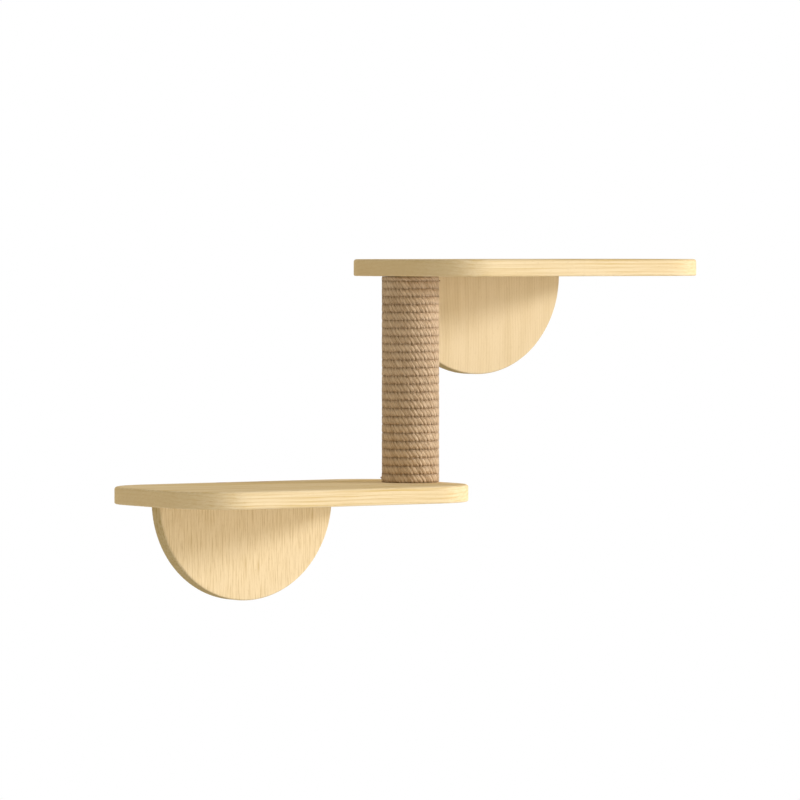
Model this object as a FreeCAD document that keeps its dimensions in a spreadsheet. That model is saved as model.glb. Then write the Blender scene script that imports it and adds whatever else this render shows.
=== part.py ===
import FreeCAD, Part
import Sketcher
import math
import os

# Two-step cat climbing wall: two shelf boards, each under-braced by a half-round
# plate that hangs flat on the wall, and a rope-wound post between them.
# Frame: +X along the wall to the right, +Y into the wall, +Z up, millimetres.
# Origin: on the wall plane, midway between the keyhole entries of the lower plate.

# Driving dimensions: name, value, what it is. Lengths are in millimetres.
SIZES = (
    ("board_length", 300, "shelf board along the wall"),
    ("board_depth", 180, "shelf board out from the wall"),
    ("board_thickness", 15, "shelf board"),
    ("corner_radius", 52, "the board's four corners, seen from above"),
    ("top_round", 2.5, "eased edge round the top of a board"),
    ("bottom_round", 1.5, "eased edge round the underside of a board"),
    ("plate_radius", 90, "half-round wall plate"),
    ("plate_thickness", 15, "half-round wall plate"),
    ("plate_front_round", 1.5, "eased arc at the plate's front"),
    ("plate_back_round", 0.8, "eased arc at the plate's back"),
    ("post_height", 183, "between the two boards"),
    ("core_diameter", 36.5, "paper tube, outside"),
    ("core_wall", 4.5, "paper tube"),
    ("rope_diameter", 7, "sisal rope"),
    ("rope_clearance", 0.25, "between the paper tube and the rope"),
    ("rope_end_gap", 0.5, "between the outermost turns and the boards"),
    ("turn_gap", 0.6, "least room between two level turns"),
    ("plug_length", 30, "wooden plug in each end of the paper tube"),
    ("plug_clearance", 0.1, "between a plug and the tube's bore"),
    ("plug_chamfer", 1, "inner rim of a plug"),
    ("insert_diameter", 12, "threaded insert, body"),
    ("insert_length", 18, "threaded insert with its flange"),
    ("insert_flange", 16, "threaded insert, flange diameter"),
    ("insert_flange_height", 1.5, "threaded insert, flange"),
    ("insert_clearance", 0.05, "between the insert and its seat"),
    ("bolt_diameter", 8, "furniture bolt, shank"),
    ("bolt_head", 16, "furniture bolt, flat countersunk head"),
    ("bolt_rim", 0.6, "straight rim of the countersunk head"),
    ("bolt_reach", 20, "length of bolt past the board"),
    ("bolt_tip", 1, "chamfer at the bolt's end"),
    ("bolt_clearance", 0.2, "round the shank and the head in the board"),
    ("thread_clearance", 0.05, "between the bolt and the insert's thread"),
    ("bolt_room", 3, "free bore past the bolt's end"),
    ("socket_flats", 5, "hex socket, across flats"),
    ("socket_depth", 3, "hex socket"),
    ("screw_spacing", 44, "between the two screws of a board"),
    ("screw_diameter", 4, "board screw, shank"),
    ("screw_head", 8, "board screw, washer head"),
    ("screw_head_height", 2.5, "board screw, washer head"),
    ("screw_reach", 38, "board screw, length inside the wall plate"),
    ("screw_tip", 4, "board screw, point"),
    ("cap_diameter", 10, "wooden cap over a board screw"),
    ("cap_height", 3.8, "wooden cap over a board screw"),
    ("cap_round", 0.3, "eased rim of a wooden cap"),
    ("dowel_spacing", 144, "between the two dowels of a board"),
    ("dowel_diameter", 8, "dowel"),
    ("dowel_in_board", 9.5, "length of dowel in the board"),
    ("dowel_in_plate", 20, "length of dowel in the wall plate"),
    ("dowel_chamfer", 0.8, "ends of a dowel"),
    ("fit_clearance", 0.05, "round dowels, caps and screws in the wood"),
    ("depth_clearance", 0.5, "past the ends of dowels and screws"),
    ("seat_clearance", 0.05, "under caps and hangers"),
    ("hanger_spacing", 100, "between the two keyhole entries of a plate"),
    ("hanger_drop", 40, "from the underside of the board to the keyhole entries"),
    ("hanger_width", 16, "keyhole hanger"),
    ("hanger_above", 27, "keyhole hanger, above its entry"),
    ("hanger_below", 17, "keyhole hanger, below its entry"),
    ("hanger_thickness", 2, "keyhole hanger"),
    ("hanger_corner", 4, "corners of the keyhole hanger"),
    ("entry_diameter", 9.5, "keyhole entry for a screw head"),
    ("slot_width", 5, "keyhole slot for a screw shank"),
    ("slot_rise", 12, "from the entry to the top of the slot"),
    ("head_room_width", 11, "cavity for the wall screw's head"),
    ("head_room_depth", 6, "cavity behind the hanger"),
    ("hanger_screw_inset", 5, "from a hanger's end to its fixing screw"),
    ("hanger_screw_diameter", 3, "hanger screw, shank"),
    ("hanger_screw_head", 6, "hanger screw, countersunk head"),
    ("hanger_screw_length", 11, "hanger screw"),
    ("hanger_screw_tip", 2.5, "hanger screw, point"),
    ("cross_span", 2.6, "cross recess of a screw, tip to tip"),
    ("cross_width", 0.7, "cross recess of a screw, one slot"),
    ("cross_depth", 1.2, "cross recess of a screw"),
    ("staple_width", 6, "staple on a rope end, crown"),
    ("staple_leg", 10.5, "staple on a rope end, leg"),
    ("staple_wire", 0.9, "staple, thickness of the wire"),
    ("staple_band", 1.2, "staple, width of the wire"),
)

# Where the rope starts, in degrees about the post's axis from +X towards +Y.
ROPE_START_ANGLE = 150
SOCKET_SIDES = 6
SAMPLES_PER_ARC = 24
SAME_PLACE = 1e-6

doc = FreeCAD.newDocument("cat_climbing_wall")
sheet = doc.addObject("Spreadsheet::Sheet", "sizes")
nodes = []


def fill_sheet():
    """Writes each driving dimension and its meaning into the sheet."""
    for row, (name, number, meaning) in enumerate(SIZES, 1):
        sheet.set(f"A{row}", name)
        sheet.set(f"B{row}", str(number))
        sheet.set(f"C{row}", meaning)
        sheet.setAlias(f"B{row}", name)
    doc.recompute()


def value(text):
    """The number that an expression over the sheet gives."""
    return float(sheet.evalExpression(text))


def half(text):
    """Half of an expression."""
    return f"(({text}) / 2)"


def size(name):
    """A sheet cell, written for an expression."""
    return f"sizes.{name}"


# Places that several sub-parts share, as expressions over the sheet.
POST_DIAMETER = "(sizes.core_diameter + 2 * sizes.rope_diameter + 2 * sizes.rope_clearance)"
BOARD_SHIFT = f"(sizes.board_length - {POST_DIAMETER})"
POST_X = f"((sizes.board_length - {POST_DIAMETER}) / 2)"
POST_Y = "(-sizes.board_depth / 2)"
LOWER_Z = size("hanger_drop")
POST_FOOT_Z = f"({LOWER_Z} + sizes.board_thickness)"
UPPER_Z = f"({POST_FOOT_Z} + sizes.post_height)"
LEVELS = {
    "lower": {"x": "0", "z": LOWER_Z, "post_x": POST_X},
    "upper": {"x": BOARD_SHIFT, "z": UPPER_Z, "post_x": f"(-{POST_X})"},
}
CORE_BORE = "(sizes.core_diameter - 2 * sizes.core_wall)"
PLATE_MIDDLE_Y = "(-sizes.plate_thickness / 2)"
CAP_BORE_DEPTH = "(sizes.cap_height + sizes.screw_head_height + sizes.seat_clearance)"
SIDES = {"left": -1, "right": 1}
UP = FreeCAD.Vector(0, 0, 1)
INTO_WALL = FreeCAD.Vector(0, 1, 0)
UPRIGHT = FreeCAD.Rotation()
UPSIDE_DOWN = FreeCAD.Rotation(UP, -UP)
FACING_WALL = FreeCAD.Rotation(UP, INTO_WALL)


def new_body(label, x, y, z, turn=UPRIGHT):
    """An empty body whose place is bound to the sheet."""
    made = doc.addObject("PartDesign::Body", label)
    made.Label = label
    base = FreeCAD.Vector(value(x), value(y), value(z))
    made.Placement = FreeCAD.Placement(base, turn)
    for axis, place in zip("xyz", (x, y, z)):
        made.setExpression(f"Placement.Base.{axis}", place)
    return made


def new_sketch(owner, name, role, height="0"):
    """A sketch on one of the body's own origin planes, moved along its normal by height."""
    drawn = owner.newObject("Sketcher::SketchObject", f"{owner.Name}_{name}")
    plane = next(item for item in owner.Origin.OriginFeatures if item.Role == role)
    drawn.AttachmentSupport = [(plane, "")]
    drawn.MapMode = "FlatFace"
    drawn.setExpression("AttachmentOffset.Base.z", height)
    return drawn


def bind(drawn, constraint, length):
    """Ties the constraint that was just added to an expression."""
    name = f"size_{constraint}"
    drawn.renameConstraint(constraint, name)
    drawn.setExpression(f"Constraints.{name}", length)


def pin(drawn, item, end, x, y):
    """Places one point of a sketch, measured from its origin."""
    for kind, length, axis in (("DistanceX", x, -2), ("DistanceY", y, -1)):
        number = value(length)
        if abs(number) < SAME_PLACE:
            drawn.addConstraint(Sketcher.Constraint("PointOnObject", item, end, axis))
            continue
        rule = Sketcher.Constraint(kind, -1, 1, item, end, number)
        bind(drawn, drawn.addConstraint(rule), length)


def add_circle(drawn, x, y, diameter):
    """A circle placed and sized from the sheet."""
    centre = FreeCAD.Vector(value(x), value(y), 0)
    radius = value(half(diameter))
    item = drawn.addGeometry(Part.Circle(centre, UP, radius), False)
    pin(drawn, item, 3, x, y)
    bind(drawn, drawn.addConstraint(Sketcher.Constraint("Radius", item, radius)), half(diameter))


def add_outline(drawn, corners):
    """A closed outline of straight lines, each corner pinned from the sheet."""
    points = [FreeCAD.Vector(value(x), value(y), 0) for x, y in corners]
    first = drawn.GeometryCount
    count = len(points)
    for start, end in zip(points, points[1:] + points[:1]):
        drawn.addGeometry(Part.LineSegment(start, end), False)
    for index, (x, y) in enumerate(corners):
        following = first + (index + 1) % count
        drawn.addConstraint(Sketcher.Constraint("Coincident", first + index, 2, following, 1))
        pin(drawn, first + index, 1, x, y)


def add_slot(drawn, x, low, high, width):
    """An upright slot with round ends, its end centres at low and high."""
    radius = value(half(width))
    ends = (FreeCAD.Vector(value(x), value(low), 0), FreeCAD.Vector(value(x), value(high), 0))
    across = FreeCAD.Vector(radius, 0, 0)
    arcs = []
    for centre, start in zip(ends, (math.pi, 0)):
        arc = Part.ArcOfCircle(Part.Circle(centre, UP, radius), start, start + math.pi)
        arcs.append(drawn.addGeometry(arc, False))
    bottom, top = arcs
    right = drawn.addGeometry(Part.LineSegment(ends[0] + across, ends[1] + across), False)
    left = drawn.addGeometry(Part.LineSegment(ends[1] - across, ends[0] - across), False)
    joins = ((bottom, 2, right, 1), (right, 2, top, 1), (top, 2, left, 1), (left, 2, bottom, 1))
    for first, first_end, second, second_end in joins:
        rule = Sketcher.Constraint("Tangent", first, first_end, second, second_end)
        drawn.addConstraint(rule)
    pin(drawn, bottom, 3, x, low)
    pin(drawn, top, 3, x, high)
    bind(drawn, drawn.addConstraint(Sketcher.Constraint("Radius", bottom, radius)), half(width))


def add_half_disc(drawn, radius):
    """A half disc under the sketch's X axis."""
    reach = value(radius)
    circle = Part.Circle(FreeCAD.Vector(), UP, reach)
    arc = drawn.addGeometry(Part.ArcOfCircle(circle, math.pi, 2 * math.pi), False)
    ends = (FreeCAD.Vector(reach, 0, 0), FreeCAD.Vector(-reach, 0, 0))
    line = drawn.addGeometry(Part.LineSegment(*ends), False)
    drawn.addConstraint(Sketcher.Constraint("Coincident", arc, 3, -1, 1))
    drawn.addConstraint(Sketcher.Constraint("Coincident", arc, 2, line, 1))
    drawn.addConstraint(Sketcher.Constraint("Coincident", line, 2, arc, 1))
    drawn.addConstraint(Sketcher.Constraint("PointOnObject", line, 1, -1))
    drawn.addConstraint(Sketcher.Constraint("PointOnObject", line, 2, -1))
    bind(drawn, drawn.addConstraint(Sketcher.Constraint("Radius", arc, reach)), radius)


def pad(owner, drawn, length):
    """Pads a sketch along its normal."""
    made = owner.newObject("PartDesign::Pad", f"{drawn.Name}_pad")
    made.Profile = drawn
    made.setExpression("Length", length)
    doc.recompute()
    return made


def pocket(owner, drawn, depth, along_normal=False):
    """Cuts a sketch into the body and makes sure that something was cut."""
    before = owner.Shape.Volume
    made = owner.newObject("PartDesign::Pocket", f"{drawn.Name}_pocket")
    made.Profile = drawn
    made.Reversed = along_normal
    made.setExpression("Length", depth)
    doc.recompute()
    if not owner.Shape.Volume < before:
        raise RuntimeError(f"{drawn.Name} cuts nothing")
    return made


def turn_profile(owner, drawn):
    """Turns a sketch about its own upright axis into a round solid."""
    made = owner.newObject("PartDesign::Revolution", f"{drawn.Name}_turned")
    made.Profile = drawn
    made.ReferenceAxis = (drawn, ["V_Axis"])
    doc.recompute()
    return made


def dress(owner, kind, name, amount, chosen):
    """A fillet or chamfer on the chosen edges of the body's last feature."""
    base = owner.Tip
    edges = [f"Edge{index}" for index, edge in enumerate(base.Shape.Edges, 1) if chosen(edge)]
    if not edges:
        raise RuntimeError(f"{owner.Name}_{name} finds no edge")
    made = owner.newObject(f"PartDesign::{kind}", f"{owner.Name}_{name}")
    made.Base = (base, edges)
    made.setExpression("Radius" if kind == "Fillet" else "Size", amount)
    doc.recompute()
    return made


def is_upright(edge):
    """True for an edge along Z."""
    box = edge.BoundBox
    return box.XLength < SAME_PLACE and box.YLength < SAME_PLACE


def lies_at(axis, place, round_only=False):
    """A test for edges that lie in one plane across an axis."""
    def test(edge):
        low = getattr(edge.BoundBox, f"{axis}Min")
        high = getattr(edge.BoundBox, f"{axis}Max")
        flat = abs(low - place) < SAME_PLACE and abs(high - place) < SAME_PLACE
        return flat and (not round_only or isinstance(edge.Curve, Part.Circle))
    return test


def is_rim(axis, place, x, y, radius):
    """A test for the rim of one upright hole in a level face."""
    flat = lies_at(axis, place, round_only=True)

    def test(edge):
        if not flat(edge):
            return False
        centre = edge.Curve.Center
        beside = math.hypot(centre.x - x, centre.y - y)
        return beside < SAME_PLACE and abs(edge.Curve.Radius - radius) < SAME_PLACE
    return test


def keep(made):
    """Notes an object as a sub-part that gets a file of its own."""
    nodes.append(made)
    return made


def group(label, members):
    """Several like pieces, separate solids, under one sub-part name."""
    made = doc.addObject("Part::Compound", label)
    made.Label = label
    made.Links = members
    return keep(made)


def make_board(level):
    """One shelf board, its origin at the middle of the back edge of the underside."""
    place = LEVELS[level]
    board = keep(new_body(f"{level}_shelf_board", place["x"], "0", place["z"]))
    side = half(size("board_length"))
    front = f"(-{size('board_depth')})"
    corners = ((f"(-{side})", front), (side, front), (side, "0"), (f"(-{side})", "0"))
    blank = new_sketch(board, "blank", "XY_Plane")
    add_outline(blank, corners)
    pad(board, blank, size("board_thickness"))
    thickness = value(size("board_thickness"))
    dress(board, "Fillet", "corners", size("corner_radius"), is_upright)
    dress(board, "Fillet", "top_edge", size("top_round"), lies_at("Z", thickness))
    dress(board, "Fillet", "bottom_edge", size("bottom_round"), lies_at("Z", 0))

    caps = new_sketch(board, "cap_bores", "XY_Plane", size("board_thickness"))
    shanks = new_sketch(board, "screw_bores", "XY_Plane", size("board_thickness"))
    dowels = new_sketch(board, "dowel_bores", "XY_Plane")
    for sign in SIDES.values():
        screw_x = f"({sign} * {half(size('screw_spacing'))})"
        dowel_x = f"({sign} * {half(size('dowel_spacing'))})"
        bore = "sizes.cap_diameter + 2 * sizes.fit_clearance"
        add_circle(caps, screw_x, PLATE_MIDDLE_Y, bore)
        bore = "sizes.screw_diameter + 2 * sizes.fit_clearance"
        add_circle(shanks, screw_x, PLATE_MIDDLE_Y, bore)
        bore = "sizes.dowel_diameter + 2 * sizes.fit_clearance"
        add_circle(dowels, dowel_x, PLATE_MIDDLE_Y, bore)
    pocket(board, caps, CAP_BORE_DEPTH)
    pocket(board, shanks, size("board_thickness"))
    depth = "sizes.dowel_in_board + sizes.depth_clearance"
    pocket(board, dowels, depth, along_normal=True)

    post = new_sketch(board, "bolt_bore", "XY_Plane", size("board_thickness"))
    bore = "(sizes.bolt_diameter + 2 * sizes.bolt_clearance)"
    add_circle(post, place["post_x"], POST_Y, bore)
    pocket(board, post, size("board_thickness"))
    seat = f"(({size('bolt_head')} + 2 * {size('bolt_clearance')} - {bore}) / 2)"
    face = thickness if level == "upper" else 0
    rim = is_rim("Z", face, value(place["post_x"]), value(POST_Y), value(half(bore)))
    sunk = f"({seat} + {size('bolt_rim')})"
    dress(board, "Chamfer", "bolt_seat", sunk, rim)


def make_plate(level):
    """One half-round wall plate, its origin at the middle of its top back edge."""
    place = LEVELS[level]
    plate = keep(new_body(f"{level}_wall_plate", place["x"], "0", place["z"]))
    blank = new_sketch(plate, "blank", "XZ_Plane")
    add_half_disc(blank, size("plate_radius"))
    pad(plate, blank, size("plate_thickness"))
    front = -value(size("plate_thickness"))
    dress(plate, "Fillet", "front_arc", size("plate_front_round"), lies_at("Y", front, True))
    dress(plate, "Fillet", "back_arc", size("plate_back_round"), lies_at("Y", 0, True))

    screws = new_sketch(plate, "screw_bores", "XY_Plane")
    dowels = new_sketch(plate, "dowel_bores", "XY_Plane")
    for sign in SIDES.values():
        screw_x = f"({sign} * {half(size('screw_spacing'))})"
        dowel_x = f"({sign} * {half(size('dowel_spacing'))})"
        bore = "sizes.screw_diameter + 2 * sizes.fit_clearance"
        add_circle(screws, screw_x, PLATE_MIDDLE_Y, bore)
        bore = "sizes.dowel_diameter + 2 * sizes.fit_clearance"
        add_circle(dowels, dowel_x, PLATE_MIDDLE_Y, bore)
    pocket(plate, screws, "sizes.screw_reach + sizes.depth_clearance")
    pocket(plate, dowels, "sizes.dowel_in_plate + sizes.depth_clearance")

    seats = new_sketch(plate, "hanger_seats", "XZ_Plane")
    cavities = new_sketch(plate, "head_rooms", "XZ_Plane")
    pilots = new_sketch(plate, "hanger_screw_bores", "XZ_Plane")
    for sign in SIDES.values():
        middle = f"({sign} * {half(size('hanger_spacing'))})"
        entry = f"(-{size('hanger_drop')})"
        side = f"({half(size('hanger_width'))} + {size('fit_clearance')})"
        top = f"({entry} + {size('hanger_above')} + {size('fit_clearance')})"
        bottom = f"({entry} - {size('hanger_below')} - {size('fit_clearance')})"
        left, right = f"({middle} - {side})", f"({middle} + {side})"
        add_outline(seats, ((left, bottom), (right, bottom), (right, top), (left, top)))
        slot_top = f"({entry} + {size('slot_rise')})"
        add_slot(cavities, middle, entry, slot_top, size("head_room_width"))
        bore = "sizes.hanger_screw_diameter + 2 * sizes.fit_clearance"
        for height in hanger_screw_heights():
            add_circle(pilots, middle, f"({entry} + {height})", bore)
    seat_depth = f"({size('hanger_thickness')} + {size('seat_clearance')})"
    pocket(plate, seats, seat_depth, along_normal=True)
    pocket(plate, cavities, f"{seat_depth} + {size('head_room_depth')}", along_normal=True)
    depth = "sizes.hanger_screw_length + sizes.depth_clearance"
    pocket(plate, pilots, depth, along_normal=True)


def hanger_screw_heights():
    """Where the two fixing screws of a hanger sit, measured up from its entry."""
    upper = "(sizes.hanger_above - sizes.hanger_screw_inset)"
    lower = "(sizes.hanger_screw_inset - sizes.hanger_below)"
    return upper, lower


def make_hanger(level, side):
    """A keyhole hanger let in flush, its origin at its entry on the wall plane."""
    place = LEVELS[level]
    x = f"({place['x']} + {SIDES[side]} * {half(size('hanger_spacing'))})"
    z = f"({place['z']} - {size('hanger_drop')})"
    hanger = keep(new_body(f"{level}_{side}_hanger", x, "0", z))
    edge = half(size("hanger_width"))
    top, bottom = size("hanger_above"), f"(-{size('hanger_below')})"
    blank = new_sketch(hanger, "blank", "XZ_Plane")
    corners = ((f"(-{edge})", bottom), (edge, bottom), (edge, top), (f"(-{edge})", top))
    add_outline(blank, corners)
    pad(hanger, blank, size("hanger_thickness"))

    def is_corner(item):
        box = item.BoundBox
        return box.XLength < SAME_PLACE and box.ZLength < SAME_PLACE
    dress(hanger, "Fillet", "corners", size("hanger_corner"), is_corner)
    entry = new_sketch(hanger, "entry", "XZ_Plane")
    add_circle(entry, "0", "0", size("entry_diameter"))
    pocket(hanger, entry, size("hanger_thickness"), along_normal=True)
    slot = new_sketch(hanger, "slot", "XZ_Plane")
    add_slot(slot, "0", "0", size("slot_rise"), size("slot_width"))
    pocket(hanger, slot, size("hanger_thickness"), along_normal=True)
    fixings = new_sketch(hanger, "fixings", "XZ_Plane")
    bore = "(sizes.hanger_screw_diameter + 2 * sizes.fit_clearance)"
    for height in hanger_screw_heights():
        add_circle(fixings, "0", height, bore)
    pocket(hanger, fixings, size("hanger_thickness"), along_normal=True)
    radius = value(half(bore))
    at_back = lies_at("Y", 0, round_only=True)

    def is_fixing_rim(item):
        return at_back(item) and abs(item.Curve.Radius - radius) < SAME_PLACE
    sink = f"((sizes.hanger_screw_head - {size('hanger_screw_diameter')}) / 2)"
    dress(hanger, "Chamfer", "countersinks", sink, is_fixing_rim)


def turned(label, x, y, z, turn, corners):
    """A round piece: an outline beside its own axis, turned once round."""
    made = new_body(label, x, y, z, turn)
    profile = new_sketch(made, "profile", "XZ_Plane")
    add_outline(profile, corners)
    turn_profile(made, profile)
    return made


def add_cross(owner):
    """The cross recess in a screw's head, whose face is at the body's origin."""
    tip, arm = half(size("cross_span")), half(size("cross_width"))
    signs = ((1, 1), (-1, 1), (-1, -1), (1, -1))
    corners = []
    for index, (x_sign, y_sign) in enumerate(signs):
        near = (f"({x_sign} * {tip})", f"({y_sign} * {arm})")
        inner = (f"({x_sign} * {arm})", f"({y_sign} * {arm})")
        far = (f"({x_sign} * {arm})", f"({y_sign} * {tip})")
        corners += (near, inner, far) if index % 2 == 0 else (far, inner, near)
    cross = new_sketch(owner, "cross", "XY_Plane")
    add_outline(cross, corners)
    pocket(owner, cross, size("cross_depth"))


def make_board_screw(label, x, z):
    """A washer-head wood screw, its origin at the middle of its head's face."""
    head, shank = half(size("screw_head")), half(size("screw_diameter"))
    seat = f"(-{size('screw_head_height')})"
    in_board = f"({size('board_thickness')} - {CAP_BORE_DEPTH})"
    end = f"({seat} - {in_board} - {size('screw_reach')})"
    point = f"({end} + {size('screw_tip')})"
    corners = (("0", "0"), (head, "0"), (head, seat), (shank, seat), (shank, point), ("0", end))
    screw = turned(label, x, PLATE_MIDDLE_Y, z, UPRIGHT, corners)
    add_cross(screw)
    return screw


def make_hanger_screw(label, x, z):
    """A countersunk wood screw that points away from the wall."""
    head, shank = half(size("hanger_screw_head")), half(size("hanger_screw_diameter"))
    neck = f"({shank} - {head})"
    end = f"(-{size('hanger_screw_length')})"
    point = f"({end} + {size('hanger_screw_tip')})"
    corners = (("0", "0"), (head, "0"), (shank, neck), (shank, point), ("0", end))
    screw = turned(label, x, "0", z, FACING_WALL, corners)
    add_cross(screw)
    return screw


def make_fasteners(level):
    """The screws, caps and dowels that join one board to its wall plate."""
    place = LEVELS[level]
    screws, caps, dowels, fixings = [], [], [], []
    top = f"({place['z']} + {size('board_thickness')})"
    for side, sign in SIDES.items():
        screw_x = f"({place['x']} + {sign} * {half(size('screw_spacing'))})"
        head_z = f"({top} - {CAP_BORE_DEPTH} + {size('screw_head_height')})"
        screws.append(make_board_screw(f"{level}_{side}_board_screw", screw_x, head_z))
        caps.append(make_cap(f"{level}_{side}_cap", screw_x, top))
        dowel_x = f"({place['x']} + {sign} * {half(size('dowel_spacing'))})"
        dowels.append(make_dowel(f"{level}_{side}_dowel", dowel_x, place["z"]))
        hanger_x = f"({place['x']} + {sign} * {half(size('hanger_spacing'))})"
        for row, height in zip(("upper", "lower"), hanger_screw_heights()):
            z = f"({place['z']} - {size('hanger_drop')} + {height})"
            name = f"{level}_{side}_{row}_fixing"
            fixings.append(make_hanger_screw(name, hanger_x, z))
    group(f"{level}_shelf_screws", screws)
    group(f"{level}_screw_caps", caps)
    group(f"{level}_shelf_dowels", dowels)
    group(f"{level}_hanger_screws", fixings)


def make_cap(label, x, z):
    """A wooden cap flush with the board's top, its origin on its own top."""
    radius, ease = half(size("cap_diameter")), size("cap_round")
    bottom = f"(-{size('cap_height')})"
    corners = (
        ("0", "0"),
        (f"({radius} - {ease})", "0"),
        (radius, f"(-{ease})"),
        (radius, bottom),
        ("0", bottom),
    )
    return turned(label, x, PLATE_MIDDLE_Y, z, UPRIGHT, corners)


def make_dowel(label, x, z):
    """A dowel, its origin where it crosses from the board into the plate."""
    radius, ease = half(size("dowel_diameter")), size("dowel_chamfer")
    inner = f"({radius} - {ease})"
    top, bottom = size("dowel_in_board"), f"(-{size('dowel_in_plate')})"
    corners = (
        ("0", top),
        (inner, top),
        (radius, f"({top} - {ease})"),
        (radius, f"({bottom} + {ease})"),
        (inner, bottom),
        ("0", bottom),
    )
    return turned(label, x, PLATE_MIDDLE_Y, z, UPRIGHT, corners)


def make_core():
    """The paper tube that stands between the boards."""
    core = keep(new_body("post_core_tube", POST_X, POST_Y, POST_FOOT_Z))
    ring = new_sketch(core, "ring", "XY_Plane")
    add_circle(ring, "0", "0", size("core_diameter"))
    add_circle(ring, "0", "0", CORE_BORE)
    pad(core, ring, size("post_height"))


def post_end(level):
    """Where one end of the post meets its board, and the turn that points into the post."""
    if level == "lower":
        return POST_FOOT_Z, UPSIDE_DOWN
    return UPPER_Z, UPRIGHT


def make_plug(level):
    """A wooden plug flush with the tube's end, its origin on the face at the board."""
    z, turn = post_end(level)
    outer = half(f"{CORE_BORE} - 2 * {size('plug_clearance')}")
    bore = f"({half(size('insert_diameter'))} + {size('insert_clearance')})"
    flange = f"({half(size('insert_flange'))} + {size('insert_clearance')})"
    ledge = f"(-{size('insert_flange_height')} - {size('insert_clearance')})"
    hole_end = f"(-{size('bolt_reach')} - {size('bolt_room')})"
    bottom, ease = f"(-{size('plug_length')})", size("plug_chamfer")
    corners = (
        (flange, "0"),
        (outer, "0"),
        (outer, f"({bottom} + {ease})"),
        (f"({outer} - {ease})", bottom),
        ("0", bottom),
        ("0", hole_end),
        (bore, hole_end),
        (bore, ledge),
        (flange, ledge),
    )
    keep(turned(f"{level}_post_plug", POST_X, POST_Y, z, turn, corners))


def make_insert(level):
    """A flanged threaded insert in the plug; its thread is drawn as a plain bore."""
    z, turn = post_end(level)
    bore = f"({half(size('bolt_diameter'))} + {size('thread_clearance')})"
    body, flange = half(size("insert_diameter")), half(size("insert_flange"))
    ledge, end = f"(-{size('insert_flange_height')})", f"(-{size('insert_length')})"
    corners = ((bore, "0"), (flange, "0"), (flange, ledge), (body, ledge), (body, end), (bore, end))
    keep(turned(f"{level}_threaded_insert", POST_X, POST_Y, z, turn, corners))


def make_bolt(level):
    """A flat-head furniture bolt, its head flush with the board's far face."""
    outside, turn = post_end(level)
    sign = "-" if level == "lower" else "+"
    z = f"({outside} {sign} {size('board_thickness')})"
    head, shank = half(size("bolt_head")), half(size("bolt_diameter"))
    rim = f"(-{size('bolt_rim')})"
    neck = f"({rim} - ({head} - {shank}))"
    end = f"(-{size('board_thickness')} - {size('bolt_reach')})"
    tip = size("bolt_tip")
    corners = (
        ("0", "0"),
        (head, "0"),
        (head, rim),
        (shank, neck),
        (shank, f"({end} + {tip})"),
        (f"({shank} - {tip})", end),
        ("0", end),
    )
    bolt = keep(turned(f"{level}_post_bolt", POST_X, POST_Y, z, turn, corners))
    socket = new_sketch(bolt, "socket", "XY_Plane")
    across = f"{size('socket_flats')} / sqrt(3)"
    turns = [math.tau * index / SOCKET_SIDES for index in range(SOCKET_SIDES)]
    add_outline(socket, [(f"{across} * cos({t} rad)", f"{across} * sin({t} rad)") for t in turns])
    pocket(bolt, socket, size("socket_depth"))


def biarc(start, start_way, end, end_way):
    """Two arcs that leave start along start_way and reach end along end_way."""
    chord = end - start
    both = start_way + end_way
    spread = 2 * (1 - start_way.dot(end_way))
    along = chord.dot(both)
    reach = (math.sqrt(along * along + spread * chord.dot(chord)) - along) / spread
    middle = (start + end) / 2 + (start_way - end_way) * (reach / 2)
    arcs = []
    for near, corner, far in (
        (start, start + start_way * reach, middle),
        (middle, end - end_way * reach, end),
    ):
        halfway = (near + far) / 2
        lean = (near - halfway).Length / reach
        crown = halfway + (corner - halfway) * (lean / (1 + lean))
        arcs.append(Part.Arc(near, crown, far).toShape())
    return arcs


def rope_path():
    """The rope's line: level half turns, each with a climbing half turn after it."""
    rope = value(size("rope_diameter"))
    radius = value(half(size("core_diameter"))) + value(size("rope_clearance")) + rope / 2
    lowest = rope / 2 + value(size("rope_end_gap"))
    climb = value(size("post_height")) - 2 * lowest
    steps = math.floor(climb / (rope + value(size("turn_gap"))))
    pitch = climb / steps

    def point(turn, height):
        return FreeCAD.Vector(radius * math.cos(turn), radius * math.sin(turn), height)

    def way(turn):
        return FreeCAD.Vector(-math.sin(turn), math.cos(turn), 0)

    stops = [(math.radians(ROPE_START_ANGLE), lowest)]
    for step in range(steps):
        height = lowest + pitch * step
        stops.append((stops[-1][0] + math.pi, height))
        stops.append((stops[-1][0] + math.pi, height + pitch))
    stops.append((stops[-1][0] + math.pi, stops[-1][1]))

    first, last = stops[0], stops[-1]
    start, end = point(*first), point(*last)
    tail = Part.LineSegment(start - way(first[0]) * rope, start).toShape()
    head = Part.LineSegment(end, end + way(last[0]) * rope).toShape()
    edges = [tail]
    for near, far in zip(stops, stops[1:]):
        edges += biarc(point(*near), way(near[0]), point(*far), way(far[0]))
    edges.append(head)
    print(f"rope turns {(last[0] - first[0]) / math.tau:g}, pitch {pitch:.3f}, radius {radius:.2f}")
    return edges


def least_gap(edges, diameter):
    """The smallest room between two stretches of the rope at least half a turn apart."""
    points, places, run = [], [], 0
    for edge in edges:
        low, high = edge.ParameterRange
        for step in range(SAMPLES_PER_ARC):
            share = step / SAMPLES_PER_ARC
            points.append(edge.valueAt(low + (high - low) * share))
            places.append(run + edge.Length * share)
        run += edge.Length
    apart = 4 * diameter
    least = None
    for index, point in enumerate(points):
        for other in range(index + 1, min(index + 6 * SAMPLES_PER_ARC, len(points))):
            if places[other] - places[index] < apart:
                continue
            room = point.distanceToPoint(points[other]) - diameter
            least = room if least is None else min(least, room)
    return least


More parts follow.
